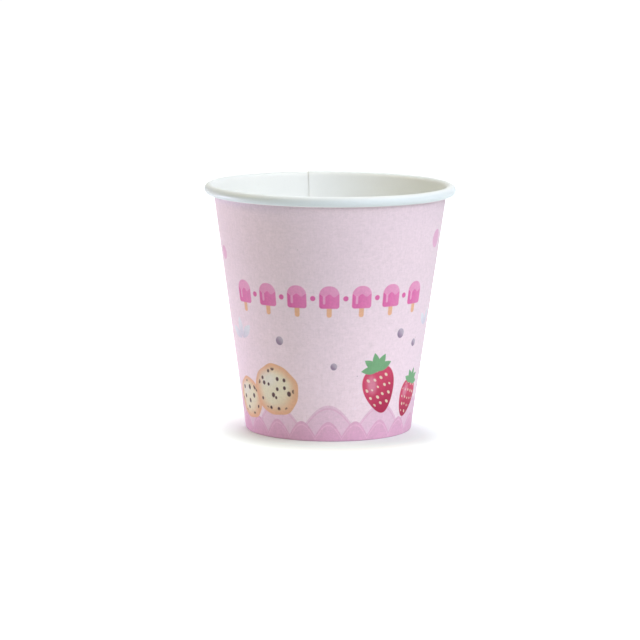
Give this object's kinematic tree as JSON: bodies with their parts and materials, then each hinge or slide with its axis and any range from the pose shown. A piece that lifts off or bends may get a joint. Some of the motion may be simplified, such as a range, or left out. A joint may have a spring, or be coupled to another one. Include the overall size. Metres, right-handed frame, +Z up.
{
  "type": "paper cup",
  "caption": "Small tapered paper ice-cream cup with a rolled rim, a lapped side seam, a raised base and a folded foot.",
  "frame": {"origin": "centre of the foot, on the table", "axes": "+Z up along the cup's axis, -Y towards the front of the print, side seam at the back"},
  "size_m": [0.062, 0.062, 0.0608],
  "materials": {
    "printed_board": "matt pale pink print outside, white coating inside and on the rim",
    "white_board": "white, thin satin coating"
  },
  "bodies": {
    "root": {"side_wall": "printed_board", "base": "white_board"}
  },
  "joints": []
}
